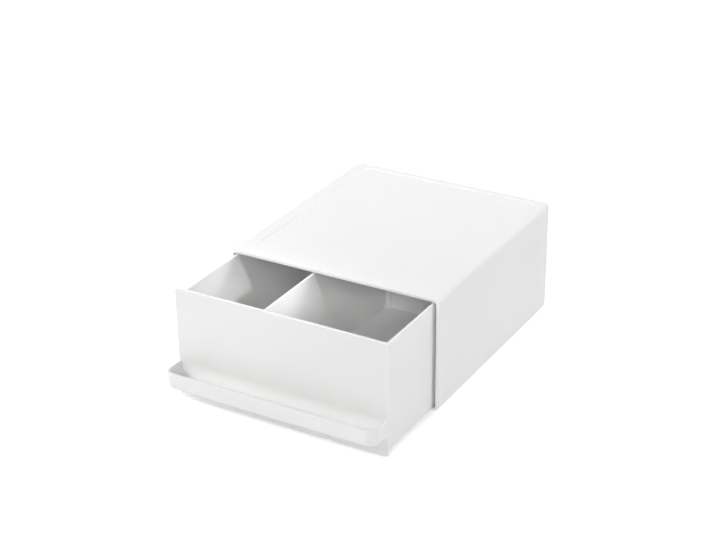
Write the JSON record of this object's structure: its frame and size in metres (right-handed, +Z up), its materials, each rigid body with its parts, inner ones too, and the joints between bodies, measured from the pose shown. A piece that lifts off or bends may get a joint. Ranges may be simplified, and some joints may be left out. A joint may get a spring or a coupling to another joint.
{
  "type": "stackable drawer box",
  "caption": "Open-fronted stacking case with a pull-out drawer, a gutter-shaped finger pull, a sliding divider and non-slip pads.",
  "frame": {"origin": "on the ground, under the middle of the case's footprint, in the plane of the four pads' feet", "axes": "+X across the front, to the right as a person facing the front sees it; +Y from the front of the case to its back; +Z up. The drawer pulls out towards -Y"},
  "size_m": [0.18, 0.2935, 0.0945],
  "materials": {
    "case_plastic": "satin white moulded polypropylene",
    "tub_plastic": "satin white moulded polypropylene",
    "front_plastic": "satin white moulded polypropylene",
    "divider_plastic": "satin white moulded polypropylene",
    "pad_rubber": "matt pale elastomer"
  },
  "bodies": {
    "case": {"case_shell": "case_plastic", "pad_front_left": "pad_rubber", "pad_front_right": "pad_rubber", "pad_back_left": "pad_rubber", "pad_back_right": "pad_rubber"},
    "drawer": {"drawer_tub": "tub_plastic", "drawer_front": "front_plastic"},
    "partition": {"divider": "divider_plastic"}
  },
  "joints": [
    {"name": "drawer_slide", "type": "slide", "parent": "case", "child": "drawer", "axis": [0, -1, 0], "range_m": [-0.072, 0.08]},
    {"name": "divider_slide", "type": "slide", "parent": "drawer", "child": "partition", "axis": [1, 0, 0], "range_m": [-0.062, 0.095]}
  ]
}
